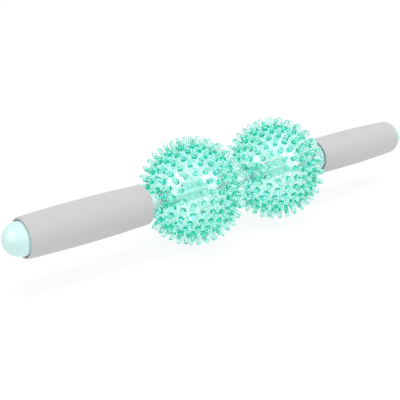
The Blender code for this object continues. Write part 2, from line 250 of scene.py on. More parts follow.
def new_material(name):
    """An empty material and the wires to fill it."""
    material = bpy.data.materials.new(name)
    material.use_nodes = True
    return material, Wires(material.node_tree)


def object_place(wires):
    return wires.add("ShaderNodeTexCoord")["Object"]


def parts_of(wires, vector):
    return wires.add("ShaderNodeSeparateXYZ", inputs={"Vector": vector})


def noise(wires, place, scale, detail=2.0):
    inputs = {"Vector": place, "Scale": scale, "Detail": detail}
    return wires.add("ShaderNodeTexNoise", inputs=inputs)["Fac"]


def bumped(wires, height, distance):
    return wires.add("ShaderNodeBump", inputs={"Height": height, "Distance": distance})["Normal"]


def mixed(wires, factor, first, second):
    """A colour between two colours. The factor counts from 0 to 1 and no further."""
    inputs = {"Factor": factor, "A": first, "B": second}
    node = wires.add("ShaderNodeMix", {"data_type": "RGBA"}).node
    for socket in node.inputs:
        if socket.enabled and socket.name in inputs:
            wires.feed(socket, inputs[socket.name])
    return Socket(wires, next(socket for socket in node.outputs if socket.enabled))


def either_shader(wires, factor, first, second):
    """The first shader where the factor is 0 and the second where it is 1."""
    return wires.add("ShaderNodeMixShader", inputs={0: factor, 1: first, 2: second})["Shader"]


def clear_vinyl_material(look):
    """Clear tinted vinyl: pale in the ball's wall and in the spikes, with painted shade in deep mint at a
    spike's root.
    """
    material, wires = new_material("Clear Ball Vinyl")
    place = object_place(wires)
    height = height_above_tips(wires, place) + look.spike_length
    rising = height / (look.root_shade_height * ROOT_RISE_SHARE)
    falling = (look.root_shade_height - height) / (look.root_shade_height * ROOT_FADE_SHARE)
    # Painted shade: a deep mint band at each spike's root stands in for the darker tint that long light
    # paths and internal reflection give there
    root = wires.math("MINIMUM", rising, falling)
    on_wall = wires.math("LESS_THAN", height, look.root_shade_height * WALL_SHARE)
    plain = mixed(wires, on_wall, with_alpha(look.spike_colour), with_alpha(look.wall_colour))
    tint = mixed(wires, root, plain, with_alpha(look.root_shade_colour))
    return clear_plastic(material, wires, look, place, tint)


def clear_tube_material(name, look):
    """Clear tinted plastic of the tubes on the axle."""
    material, wires = new_material(name)
    return clear_plastic(material, wires, look, object_place(wires), with_alpha(look.wall_colour))


def clear_plastic(material, wires, look, place, tint):
    """Glass-like plastic with a tint on its surface and in its depth, and a slightly wavy skin.

    Lamps and the light that fills pass straight through it, so that its inside and its shadow stay light.
    """
    glass = wires.add("ShaderNodeBsdfPrincipled", inputs={
        "Base Color": tint,
        "Roughness": look.roughness + CLEAR_ROUGHNESS_RANGE * noise(wires, place, look.ripple_scale * 2),
        "IOR": look.refraction,
        "Transmission Weight": look.clearness,
        "Normal": bumped(wires, noise(wires, place, look.ripple_scale), look.ripple_height),
    })["BSDF"]
    shade = with_alpha(look.shade_colour)
    passing = wires.add("ShaderNodeBsdfTransparent", inputs={"Color": shade})["BSDF"]
    path = wires.add("ShaderNodeLightPath")
    inside = either_shader(wires, path["Is Diffuse Ray"], glass, passing)
    surface = either_shader(wires, path["Is Shadow Ray"], inside, passing)
    depth = wires.add("ShaderNodeVolumeAbsorption", inputs={
        "Color": with_alpha(look.depth_colour),
        "Density": look.depth_density,
    })["Volume"]
    wires.add("ShaderNodeOutputMaterial", inputs={"Surface": surface, "Volume": depth})
    return material


def height_above_tips(wires, place):
    """How far a point lies outside the sphere through its own ball's spike tips, less than 0 inside."""
    parts = parts_of(wires, place)
    along = wires.math("ABSOLUTE", parts["X"]) - BALL_CENTRE
    up = parts["Z"] - AXLE_HEIGHT
    return (along * along + parts["Y"] * parts["Y"] + up * up) ** 0.5 - SHELL.radius


def with_surface(material, wires, inputs):
    """The material with one opaque surface."""
    surface = wires.add("ShaderNodeBsdfPrincipled", inputs=inputs)["BSDF"]
    wires.add("ShaderNodeOutputMaterial", inputs={"Surface": surface})
    return material


def satin_material(name, look, colour):
    """Moulded satin plastic: even colour, a fine spark-eroded grain and a little light under the skin."""
    material, wires = new_material(name)
    place = object_place(wires)
    cloud = noise(wires, place, look.cloud_scale)
    grain = noise(wires, place, look.grain_scale)
    return with_surface(material, wires, {
        "Base Color": mixed(wires, cloud, with_alpha(colour, look.deep_share), with_alpha(colour)),
        "Roughness": look.roughness + SATIN_ROUGHNESS_RANGE * grain,
        "IOR": PLASTIC_REFRACTION,
        "Subsurface Weight": look.glow,
        "Subsurface Radius": [look.glow_depth] * 3,
        "Normal": bumped(wires, grain, look.grain_height),
    })


def foam_material(look):
    """Closed-cell foam: matte, faintly mottled, with fine cells that pit its skin, and painted shade in the
    pits.
    """
    material, wires = new_material("Grey Foam")
    place = object_place(wires)
    mottle = noise(wires, place, look.mottle_scale, detail=4.0)
    cells = wires.add("ShaderNodeTexVoronoi", inputs={"Vector": place, "Scale": look.cell_scale})
    soft = noise(wires, place, look.cell_scale / 2, detail=3.0)
    pits = cells["Distance"] * CELL_SHARE + soft * (1 - CELL_SHARE)
    # Painted shade: the colour darkens where the cells pit the skin, mixed with a random mottle of tone
    pit_shade_and_mottle = with_alpha(look.colour, look.pit_shade_and_mottle_share)
    return with_surface(material, wires, {
        "Base Color": mixed(wires, (pits + mottle) / 2, pit_shade_and_mottle, with_alpha(look.colour)),
        "Roughness": look.roughness + FOAM_ROUGHNESS_RANGE * mottle,
        "IOR": FOAM_REFRACTION,
        "Sheen Weight": look.bloom,
        "Normal": bumped(wires, pits, look.cell_depth),
    })


def steel_material(look):
    """Drawn and turned steel: fine grooves round the axle line, with painted shade in their bottoms."""
    material, wires = new_material("Turned Steel")
    across = look.groove_scale
    along = look.groove_scale / GROOVE_STRETCH
    stretched = wires.add("ShaderNodeMapping", inputs={
        "Vector": object_place(wires),
        "Scale": (across, along, along),
    })["Vector"]
    grooves = noise(wires, stretched, 1.0, detail=3.0)
    # Painted shade: the steel's colour darkens at the bottom of each groove
    groove_shade = with_alpha(look.colour, GROOVE_SHADE_BRIGHTNESS)
    return with_surface(material, wires, {
        "Base Color": mixed(wires, grooves, groove_shade, with_alpha(look.colour)),
        "Metallic": 1.0,
        "Roughness": look.roughness + STEEL_ROUGHNESS_RANGE * grooves,
        "Normal": bumped(wires, grooves, look.groove_depth),
    })


def rounded_corner(before, corner, after, rounding, points):
    """The arc that rounds one corner of a profile."""
    corner = Vector(corner)
    towards = (Vector(before) - corner).normalized()
    onwards = (Vector(after) - corner).normalized()
    half_angle = towards.angle(onwards) / 2
    middle = corner + (towards + onwards).normalized() * rounding / math.sin(half_angle)
    first = corner + towards * rounding / math.tan(half_angle) - middle
    last = corner + onwards * rounding / math.tan(half_angle) - middle
    sweep = math.atan2(first.x * last.y - first.y * last.x, first.dot(last))
    turns = [Matrix.Rotation(sweep * i / (points - 1), 2) for i in range(points)]
    return [tuple(middle + turn @ first) for turn in turns]


def rounded(corners, points=EDGE_POINTS):
    """The outline through (station, radius, rounding) corners, which close on the first."""
    outline = []
    for number, (station, radius, rounding) in enumerate(corners):
        before = corners[number - 1][:2]
        after = corners[(number + 1) % len(corners)][:2]
        if rounding:
            outline += rounded_corner(before, (station, radius), after, rounding, points)
        else:
            outline.append((station, radius))
    return outline


def arc(centre_station, radius, start, end, points):
    """Profile points on an arc about the axle line. Angles run from the outward axle direction."""
    step = (end - start) / (points - 1)
    angles = [start + step * i for i in range(points)]
    return [(centre_station + radius * math.cos(a), radius * math.sin(a)) for a in angles]


def finished(bm, name, smooth_angle):
    """The mesh of a closed bmesh, welded, facing outwards and shaded smooth up to an angle."""
    bmesh.ops.remove_doubles(bm, verts=bm.verts, dist=WELD_DISTANCE)
    bmesh.ops.recalc_face_normals(bm, faces=bm.faces)
    if not all(edge.is_manifold for edge in bm.edges):
        raise RuntimeError(f"{name} isn't a closed mesh")
    mesh = bpy.data.meshes.new(name)
    bm.to_mesh(mesh)
    bm.free()
    mesh.shade_smooth()
    mesh.set_sharp_from_angle(angle=smooth_angle)
    return mesh


def turned_mesh(name, outline, facets, closed=True):
    """An outline of (station, radius) points turned about the axle."""
    bm = bmesh.new()
    corners = [bm.verts.new((station, 0.0, AXLE_HEIGHT + radius)) for station, radius in outline]
    followers = corners[1:] + corners[:1] if closed else corners[1:]
    edges = [bm.edges.new(pair) for pair in zip(corners, followers)]
    bmesh.ops.spin(
        bm,
        geom=corners + edges,
        cent=(0.0, 0.0, AXLE_HEIGHT),
        axis=(1.0, 0.0, 0.0),
        angle=math.tau,
        steps=facets,
        use_merge=True,
    )
    return finished(bm, name, TURNED_SMOOTH_ANGLE)


def tube_outline(start, end, inner, outer, rounding):
    """A plain tube with all its edges slightly rounded."""
    return rounded([
        (start, inner, rounding),
        (start, outer, rounding),
        (end, outer, rounding),
        (end, inner, rounding),
    ], TUBE_EDGE_POINTS)


def new_object(name, data):
    """A new object in the scene."""
    made = bpy.data.objects.new(name, data)
    bpy.context.scene.collection.objects.link(made)
    return made


def coat(mesh, material):
    """The material in place of all that the mesh had."""
    mesh.materials.clear()
    mesh.materials.append(material)


def new_piece(name, mesh, material, body, node):
    """One finished piece in the scene, on its body and in place of its node."""
    coat(mesh, material)
    piece = new_object(name, mesh)
    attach(piece, body)
    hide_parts(node)
    return piece


def new_pair(name, mesh, material, node, turns=False):
    """A piece of the right half and its twin on the left, both on the handle or each on its own ball."""
    twin = mesh.copy()
    twin.transform(Matrix.Rotation(math.pi, 4, "Z"))
    pair = []
    for side, half in (("right", mesh), ("left", twin)):
        body = f"{side}_ball" if turns else "handle"
        pair.append(new_piece(f"{side}_{name}", half, material, body, f"{side}_{node}"))
    return pair


def mirrored_about_ball(outline):
    """The outline of the like piece on the other side of its ball."""
    return [(2 * BALL_CENTRE - station, radius) for station, radius in outline]


def point_place(wires):
    return wires.add("GeometryNodeInputPosition")["Position"]


def share_along(wires):
    """0 to 1 up a unit cylinder, and the cylinder's two radial parts."""
    parts = parts_of(wires, point_place(wires))
    return parts["Z"] + 0.5, parts["X"], parts["Y"]


def vector_of(wires, x, y, z):
    return wires.add("ShaderNodeCombineXYZ", inputs={"X": x, "Y": y, "Z": z})["Vector"]


def unit_tube(wires, corners, bands):
    """An open cylinder of radius 1 and depth 1, to be shaped."""
    inputs = {"Vertices": corners, "Side Segments": bands, "Radius": 1.0, "Depth": 1.0}
    return wires.add("GeometryNodeMeshCylinder", {"fill_type": "NONE"}, inputs)["Mesh"]


def changed(wires, kind, geometry, settings=None, **inputs):
    """What one node makes of a geometry."""
    return wires.add(kind, settings, {"Geometry": geometry, **inputs})["Geometry"]


def shaped(wires, mesh, place):
    return changed(wires, "GeometryNodeSetPosition", mesh, Position=place)


def welded(wires, geometry):
    return changed(wires, "GeometryNodeMergeByDistance", geometry, Distance=WELD_DISTANCE)


def joined(wires, pieces):
    """The pieces in one geometry, with their instances made real."""
    together = changed(wires, "GeometryNodeJoinGeometry", pieces)
    return changed(wires, "GeometryNodeRealizeInstances", together)


def spike_places(wires, size):
    """Points in the middle of all spike feet, in rings about the axle with every second one staggered."""
    rings = size["Rings Each Side"]
    points = wires.add("GeometryNodePoints", inputs={"Count": rings * 2 + 1})["Points"]
    number = wires.add("GeometryNodeInputIndex")["Index"] - rings
    numbered = changed(wires, "GeometryNodeStoreNamedAttribute", points, Name="ring", Value=number)
    ring = wires.add("GeometryNodeInputNamedAttribute", inputs={"Name": "ring"})["Attribute"]
    latitude = ring * size["Ring Pitch"] / size["Core Radius"]
    ring_radius = wires.math("COSINE", latitude)
    count = wires.math("ROUND", ring_radius * size["Core Radius"] * math.tau / size["Spike Pitch"])
    copies = wires.add("GeometryNodeDuplicateElements", {"domain": "POINT"}, {
        "Geometry": numbered,
        "Amount": count,
    })
    stagger = wires.math("FLOORED_MODULO", ring, 2.0) * 0.5
    angle = (copies["Duplicate Index"] + stagger) * math.tau / count
    seat = seat_of(size, "Foot Radius")
    sideways = ring_radius * wires.math("SINE", angle)
    up = ring_radius * wires.math("COSINE", angle)
    along = wires.math("SINE", latitude)
    return shaped(wires, copies["Geometry"], vector_of(wires, along * seat, sideways * seat, up * seat))


def seat_of(size, radius_name):
    """How far from the ball's centre a circle of this radius lies on the ball."""
    return (size["Core Radius"] ** 2.0 - size[radius_name] ** 2.0) ** 0.5


def single_spike(wires, size):
    """One open spike that stands on its foot's rim, and a copy of that rim alone."""
    bands = len(SPIKE_HEIGHT_SHARES) - 1
    share, across, along = share_along(wires)
    height = wires.add("ShaderNodeFloatCurve", {"curve": SPIKE_HEIGHT_SHARES}, {"Value": share})["Value"]
    width = wires.add("ShaderNodeFloatCurve", {"curve": SPIKE_RADIUS_SHARES}, {"Value": share})["Value"]
    radius = width * size["Foot Radius"]
    tall = size["Tip Radius"] - seat_of(size, "Foot Radius")
    tube = unit_tube(wires, size["Spike Sides"], bands)
    spike = shaped(wires, tube, vector_of(wires, across * radius, along * radius, height * tall))
    closed = welded(wires, spike)
    low = wires.math("LESS_THAN", parts_of(wires, point_place(wires))["Z"], WELD_DISTANCE)
    rim = wires.add("GeometryNodeSeparateGeometry", {"domain": "POINT"}, {
        "Geometry": closed,
        "Selection": low,
    })["Selection"]
    return closed, rim


def on_every_place(wires, places, instance):
    """The instance on every point, standing straight out from the ball's centre."""
    place = point_place(wires)
    outward = wires.add("FunctionNodeAlignRotationToVector", {"axis": "Z"}, {"Vector": place})["Rotation"]
    return wires.add("GeometryNodeInstanceOnPoints", inputs={
        "Points": places,
        "Instance": instance,
        "Rotation": outward,
    })["Instances"]


def turned_surface(wires, corners, bands, station_of, radius_of):
    """An open surface turned about the axle. The two functions take the share from end to end."""
    share, across, along = share_along(wires)
    radius = radius_of(share)
    return shaped(
        wires,
        unit_tube(wires, corners, bands),
        vector_of(wires, station_of(share), across * radius, along * radius),
    )


def inner_wall(wires, size, land_station):
    """The cavity and the two pole openings with their flat lands, as three open surfaces."""
    corners = size["Pole Corners"]
    land = size["Pole Land Radius"]
    opening = size["Pole Opening Radius"]
    cavity = size["Cavity Radius"]
    start = wires.math("ARCSINE", opening / cavity)
    sweep = math.pi - start * 2.0
    edge = cavity * wires.math("COSINE", start)
    surfaces = [turned_surface(
        wires,
        corners,
        size["Cavity Bands"],
        lambda share: cavity * wires.math("COSINE", start + sweep * share),
        lambda share: cavity * wires.math("SINE", start + sweep * share),
    )]
    # The first of two bands is the flat land, and the second is the wall of the opening
    for side in (1.0, -1.0):
        surfaces.append(turned_surface(
            wires,
            corners,
            2,
            lambda share, side=side: (
                land_station + (edge - land_station) * wires.math("MAXIMUM", share * 2.0 - 1.0, 0.0)
            ) * side,
            lambda share: land + (opening - land) * wires.math("MINIMUM", share * 2.0, 1.0),
        ))
    return surfaces


def outer_skin(wires, size, places, rim, land_station):
    """The ball's surface between the feet: a hull over all rims, open under the spikes and at the poles."""
    rims = on_every_place(wires, places, rim)
    pole_rims = turned_surface(
        wires,
        size["Pole Corners"],
        1,
        lambda share: (share * 2.0 - 1.0) * land_station,
        lambda share: size["Pole Land Radius"],
    )
    all_rims = joined(wires, [rims, pole_rims])
    hull = wires.add("GeometryNodeConvexHull", inputs={"Geometry": all_rims})["Convex Hull"]
    near = wires.add("GeometryNodeProximity", {"target_element": "POINTS"}, {"Geometry": places})
    under_spike = wires.math("LESS_THAN", near["Distance"], size["Foot Radius"] * FOOT_SHARE_CUT)
    facing = parts_of(wires, wires.add("GeometryNodeInputNormal")["Normal"])["X"]
    at_pole = wires.math("GREATER_THAN", wires.math("ABSOLUTE", facing), POLE_FACING_CUT)
    settings = {"domain": "FACE", "mode": "ALL"}
    return changed(wires, "GeometryNodeDeleteGeometry", hull, settings, Selection=under_spike + at_pole)


# The named inputs of the ball's node tree
BALL_INPUTS = {
    "NodeSocketFloat": (
        "Core Radius",
        "Tip Radius",
        "Cavity Radius",
        "Foot Radius",
        "Ring Pitch",
        "Spike Pitch",
        "Pole Land Radius",
        "Pole Opening Radius",
    ),
    "NodeSocketInt": ("Rings Each Side", "Spike Sides", "Pole Corners", "Cavity Bands"),
    "NodeSocketMaterial": ("Material",),
}


def spiked_ball_tree():
    """The node tree of one hollow spiked ball, about its own centre with the axle along X."""
    tree = bpy.data.node_groups.new("Spiked Ball", "GeometryNodeTree")
    wires = Wires(tree)
    for kind, names in BALL_INPUTS.items():
        for name in names:
            tree.interface.new_socket(name, in_out="INPUT", socket_type=kind)
    tree.interface.new_socket("Geometry", in_out="OUTPUT", socket_type="NodeSocketGeometry")
    size = wires.add("NodeGroupInput")
    places = spike_places(wires, size)
    spike, rim = single_spike(wires, size)
    spikes = on_every_place(wires, places, spike)
    land_station = seat_of(size, "Pole Land Radius")
    skin = outer_skin(wires, size, places, rim, land_station)
    inside = inner_wall(wires, size, land_station)
    whole = welded(wires, joined(wires, [spikes, skin, *inside]))
    dressed = changed(wires, "GeometryNodeSetMaterial", whole, Material=size["Material"])
    wires.add("NodeGroupOutput", inputs={"Geometry": dressed})
    return tree


def grown_mesh(name, tree, values, smooth_angle):
    """The plain mesh that a node tree makes from these input values."""
    work = new_object(name, bpy.data.meshes.new(name))
    grow = work.modifiers.new("Grow", "NODES")
    grow.node_group = tree
    for socket in tree.interface.items_tree:
        if socket.in_out == "INPUT":
            grow[socket.identifier] = values[socket.name]
    evaluated = work.evaluated_get(bpy.context.evaluated_depsgraph_get())
    grown = bpy.data.meshes.new_from_object(evaluated)
    bpy.data.objects.remove(work, do_unlink=True)
    bm = bmesh.new()
    bm.from_mesh(grown)
    bpy.data.meshes.remove(grown)
    return finished(bm, name, smooth_angle)


def a_length(name, description, default):
    return FloatProperty(name=name, description=description, default=default, unit="LENGTH")


def a_number(name, description, default):
    return FloatProperty(name=name, description=description, default=default)


def an_angle(name, description, degrees):
    return FloatProperty(name=name, description=description, default=math.radians(degrees), subtype="ANGLE")


def a_colour(name, description, default):
    return FloatVectorProperty(name=name, description=description, default=default, subtype="COLOR")


def a_count(name, description, default, least):
    return IntProperty(name=name, description=description, default=default, min=least)


class RollerBallSettings(bpy.types.PropertyGroup):
    """Sizes and look of the spiked balls."""

    spike_length: a_length("Spike Length", "Height of a spike above the ball's surface", 0.008)
    foot_radius: a_length("Spike Foot Radius", "Radius of a spike where it leaves the ball", 0.0023)
    wall: a_length("Wall", "Thickness of the ball's wall between spikes", 0.0022)
    ring_pitch: a_length("Ring Pitch", "Distance between rings of spikes, along the surface", 0.00708)
    spike_pitch: a_length(
        "Spike Pitch", "Distance between spikes in a ring, rounded to a whole number of spikes", 0.00718,
    )
    pole_land_radius: a_length(
        "Pole Land Radius", "Radius of the flat land round each pole opening", 0.00535,
    )
    pole_opening_radius: a_length("Pole Opening Radius", "Radius of the opening that takes a bush", 0.0046)
    spike_sides: a_count("Spike Sides", "Sides round one spike", 10, 3)
    pole_corners: a_count("Pole Corners", "Corners round a pole", 48, 12)
    cavity_bands: a_count("Cavity Bands", "Bands along the hollow", 28, 4)
    spike_colour: a_colour("Spike Colour", "Tint of the spikes above their roots", (0.87, 0.97, 0.945))
    wall_colour: a_colour("Wall Colour", "Tint of the ball's wall, hub and spacer", (0.87, 0.985, 0.955))
    # Painted shade at a spike's root, standing in for the darker tint that the thick plastic and the light
    # trapped in it give there, and the height of that painted shade
    root_shade_colour: a_colour(
        "Root Shade Colour", "Tint at the root of a spike, where the plastic is thickest", (0.0, 0.65, 0.47),
    )
    root_shade_height: a_length("Root Shade Height", "Height of the deeper tint above a spike's foot", 0.0021)
    shade_colour: a_colour(
        "Shade Colour", "Share of lamp light that each surface lets into the shade", (0.90, 0.90, 0.90),
    )
    depth_colour: a_colour(
        "Depth Colour", "Colour that light keeps as it passes through the wall", (0.09, 0.955, 0.86),
    )
    depth_density: a_number("Depth Density", "How fast the wall takes up light, per metre", 55.0)
    clearness: a_number(
        "Clearness", "Share of light that passes clearly, where the rest clouds the plastic", 0.97,
    )
    refraction: a_number("Refraction", "Index of refraction", 1.5)
    roughness: a_number("Roughness", "Lowest roughness of the surface", 0.02)
    ripple_scale: a_number("Ripple Scale", "Ripples per metre", 110.0)
    ripple_height: a_length("Ripple Height", "Height of the surface's soft waviness", 0.00006)


class RollerPlasticSettings(bpy.types.PropertyGroup):
    """Sizes and look of the moulded plastic pieces."""

    collar_rim: a_length("Collar Rim", "Length of the collar that stands out of the grip", 0.0018)
    collar_flare: a_length("Collar Flare", "Length over which the neck widens to the collar", 0.0023)
    neck_radius: a_length(
        "Neck Radius", "Radius of the handle core where it reaches the ball's pole", 0.0058,
    )
    core_radius: a_length("Core Radius", "Radius of the handle core under the grip", 0.0108)
    core_bore_radius: a_length("Core Bore Radius", "Radius of the handle core's bore", 0.0076)
    core_end_bore_radius: a_length(
        "Core End Bore Radius", "Radius of the wider bore at the handle core's outer end", 0.0092,
    )
    core_end_bore_depth: a_length("Core End Bore Depth", "Depth of the wider bore", 0.032)
    nose_length: a_length("Nose Length", "Length of the handle core's end that fits the axle", 0.0125)
    dome_wall: a_length("Dome Wall", "Wall of the domed cap", 0.002)
    dome_stem_length: a_length(
        "Dome Stem Length", "Length of the stem that fits into the handle core", 0.01,
    )
    dome_stem_wall: a_length("Dome Stem Wall", "Wall of the domed cap's stem", 0.0018)
    bush_wall: a_length("Bush Wall", "Wall of a bush", 0.001)
    flange_thickness: a_length("Bush Flange Thickness", "Thickness of a bush's flange", 0.001)
    edge_rounding: a_length("Edge Rounding", "Rounding of the moulded edges", 0.0003)
    colour: a_colour("Cap Colour", "Colour of the caps and collars", (0.70, 0.995, 0.945))
    bearing_colour: a_colour(
        "Bearing Colour", "Colour of the bushes, washers and anchor discs", (0.84, 0.93, 0.90),
    )
    deep_share: a_number("Deep Share", "Brightness of the darker clouds", 0.97)
    cloud_scale: a_number("Cloud Scale", "Colour clouds per metre", 60.0)
    grain_scale: a_number("Grain Scale", "Surface grains per metre", 2500.0)
    grain_height: a_length("Grain Height", "Height of the surface grain", 0.00001)
    roughness: a_number("Roughness", "Lowest roughness", 0.42)
    glow: a_number("Glow", "Share of light that goes under the surface", 0.25)
    glow_depth: a_length("Glow Depth", "How far light spreads under the surface", 0.0015)


class RollerGripSettings(bpy.types.PropertyGroup):
    """Sizes and look of the foam grips."""

    inner_radius: a_length("Inner Lip Radius", "Radius of the grip at its inner end", 0.0142)
    outer_radius: a_length("Outer Lip Radius", "Radius of the grip at its outer end", 0.0137)
    inner_mouth_radius: a_length(
        "Inner Mouth Radius", "Radius of the shallow mouth at the inner end", 0.0135,
    )
    outer_mouth_radius: a_length(
        "Outer Mouth Radius", "Radius of the shallow mouth at the outer end", 0.0125,
    )
    lip_rounding_share: a_number(
        "Lip Rounding Share", "Rounding of a lip, as a share of the lip's thickness", 0.9,
    )
    mouth_depth: a_length("Mouth Depth", "Depth of the shallow mouth", 0.0026)
    colour: a_colour("Foam Colour", "Colour of the foam", (0.642, 0.642, 0.642))
    # Brightness of the foam at the bottom of its pits, which is painted shade, and in its darker mottles
    pit_shade_and_mottle_share: a_number("Dark Share", "Brightness of the darker cells", 0.9)
    mottle_scale: a_number("Mottle Scale", "Mottles per metre", 90.0)
    cell_scale: a_number("Cell Scale", "Foam cells per metre", 1600.0)
    cell_depth: a_length("Cell Depth", "Depth of the cells in the skin", 0.00006)
    roughness: a_number("Roughness", "Lowest roughness of the foam", 0.78)
    bloom: a_number("Bloom", "Soft sheen of the skin", 0.15)


class RollerSteelSettings(bpy.types.PropertyGroup):
    """Look of the axle and its fastenings."""

    colour: a_colour("Steel Colour", "Colour of the steel", (0.92, 0.93, 0.92))
    roughness: a_number("Roughness", "Lowest roughness of the steel", 0.16)
    groove_scale: a_number("Groove Scale", "Grooves per metre", 3000.0)
    groove_depth: a_length("Groove Depth", "Depth of the turning grooves", 0.00001)


class RollerStageSettings(bpy.types.PropertyGroup):
    """Camera, floor and light."""

    camera_place: FloatVectorProperty(
        name="Camera Place",
        description="Where the camera stands",
        default=(-0.4174, -0.4500, AXLE_HEIGHT + 0.2046),
        subtype="TRANSLATION",
    )
    camera_heading: an_angle("Camera Heading", "Turn of the camera about the vertical", -40.41)
    camera_dip: an_angle("Camera Dip", "How far the camera looks down", 19.85)
    lens: a_number("Lens", "Focal length in millimetres", 77.11)
    floor_size: a_length("Floor Size", "Side of the floor", 12.0)
    floor_paint: a_number("Floor Paint", "Brightness of the floor's paint", 0.97)
    floor_evenness: a_number("Floor Evenness", "Share of the floor's white that no shadow reaches", 0.8)
    floor_white: a_number("Floor White", "Brightness of the even part of the floor's white", 1.05)
    ambient: a_number("Ambient", "Light from all round", 0.62)
    sun_strength: a_number("Overhead Strength", "Light from above", 1.3)
    sun_spread: an_angle("Overhead Spread", "Angle over which the overhead light spreads", 50)
    sun_lean: an_angle("Overhead Lean", "Lean of the overhead light from the vertical", 12)
    box_strength: a_number("Soft Box Strength", "Power of a soft box", 14.0)
    box_distance: a_length("Soft Box Distance", "Distance of the soft boxes from the roller", 1.0)
    box_size: a_length("Soft Box Size", "Side of a soft box", 0.7)
    bounces: a_count("Bounces", "Bounces of light through the clear plastic", 28, 4)


SETTINGS = {
    "roller_balls": RollerBallSettings,
    "roller_plastics": RollerPlasticSettings,
    "roller_grips": RollerGripSettings,
    "roller_steel": RollerSteelSettings,
    "roller_stage": RollerStageSettings,
}


class ROLLER_OT_balls(bpy.types.Operator):
    """Make the two clear spiked balls"""

    bl_idname = "roller.balls"
    bl_label = "Spiked Balls"

    def execute(self, context):
        look = context.scene.roller_balls
        material = clear_vinyl_material(look)
        core_radius = SHELL.radius - look.spike_length
        foot_angle = math.atan2(look.foot_radius, core_radius)
        foot_reach = math.hypot(core_radius, look.foot_radius)
        last_latitude = math.acos(look.pole_land_radius / foot_reach) - foot_angle
        mesh = grown_mesh("right_ball_spikes", spiked_ball_tree(), {
            "Core Radius": core_radius,
            "Tip Radius": SHELL.radius,
            "Cavity Radius": core_radius - look.wall,
            "Foot Radius": look.foot_radius,
            "Ring Pitch": look.ring_pitch,
            "Spike Pitch": look.spike_pitch,
            "Rings Each Side": int(last_latitude * core_radius / look.ring_pitch),
            "Spike Sides": look.spike_sides,
            "Pole Corners": look.pole_corners,
            "Cavity Bands": look.cavity_bands,
            "Pole Land Radius": look.pole_land_radius,
            "Pole Opening Radius": look.pole_opening_radius,
            "Material": material,
        }, SPIKED_SMOOTH_ANGLE)
        mesh.transform(Matrix.Translation((BALL_CENTRE, 0.0, AXLE_HEIGHT)))
        new_pair("ball", mesh, material, "ball_shell", turns=True)
        return {"FINISHED"}


class ROLLER_OT_hubs(bpy.types.Operator):
    """Make the bushes and the tube that carry each ball"""

    bl_idname = "roller.hubs"
    bl_label = "Hubs"

    def execute(self, context):
        look = context.scene.roller_plastics
        clear = clear_tube_material("Clear Hub Plastic", context.scene.roller_balls)
        bearing = satin_material("Pale Bearing Plastic", look, look.bearing_colour)
        edge = look.edge_rounding
        barrel = AXLE_BORE + look.bush_wall
        seat = BUSH.end - look.flange_thickness
        bush = rounded([
            (BUSH.start, AXLE_BORE, 0.0),
            (BUSH.start, barrel, edge),
            (seat, barrel, 0.0),
            (seat, BUSH.radius, edge),
            (BUSH.end, BUSH.radius, edge),
            (BUSH.end, AXLE_BORE, 0.0),
        ])
        tube = tube_outline(HUB.start, HUB.end, barrel + FIT_GAP, HUB.radius, edge)
        for name, outline, material, slot in (
            ("hub_tube", tube, clear, "clear_mint"),
            ("outer_bush", bush, bearing, "white_acetal"),
            ("inner_bush", mirrored_about_ball(bush), bearing, "white_acetal"),
        ):
            mesh = turned_mesh(name, outline, TUBE_FACETS)
            new_pair(f"{name}_turned", mesh, material, name, turns=True)
        return {"FINISHED"}


class ROLLER_OT_grips(bpy.types.Operator):
    """Make the two foam grips"""

    bl_idname = "roller.grips"
    bl_label = "Foam Grips"

    def execute(self, context):
        look = context.scene.roller_grips
        material = foam_material(look)
        bore = context.scene.roller_plastics.core_radius + FIT_GAP
        length = GRIP.end - GRIP.start
        inner_rounding = (look.inner_radius - look.inner_mouth_radius) * look.lip_rounding_share
        outer_rounding = (look.outer_radius - look.outer_mouth_radius) * look.lip_rounding_share

        def belly(share):
            """The radius along the grip, on a parabola through both lips and the middle."""
            inner = look.inner_radius * (1 - share) * (1 - 2 * share)
            middle = GRIP.radius * 4 * share * (1 - share)
            outer = look.outer_radius * share * (2 * share - 1)
            return inner + middle + outer

        shares = [i / GRIP_STRETCHES for i in range(1, GRIP_STRETCHES)]
        outline = rounded([
            (GRIP.start, look.inner_mouth_radius, 0.0),
            (GRIP.start, look.inner_radius, inner_rounding),
            *[(GRIP.start + share * length, belly(share), 0.0) for share in shares],
            (GRIP.end, look.outer_radius, outer_rounding),
            (GRIP.end, look.outer_mouth_radius, 0.0),
            (GRIP.end - look.mouth_depth, look.outer_mouth_radius, 0.0),
            (GRIP.end - look.mouth_depth, bore, 0.0),
            (GRIP.start + look.mouth_depth, bore, 0.0),
            (GRIP.start + look.mouth_depth, look.inner_mouth_radius, 0.0),
        ], LIP_POINTS)
        mesh = turned_mesh("right_foam_grip", outline, GRIP_FACETS)
        for grip in new_pair("foam_grip", mesh, material, "grip"):
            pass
        return {"FINISHED"}


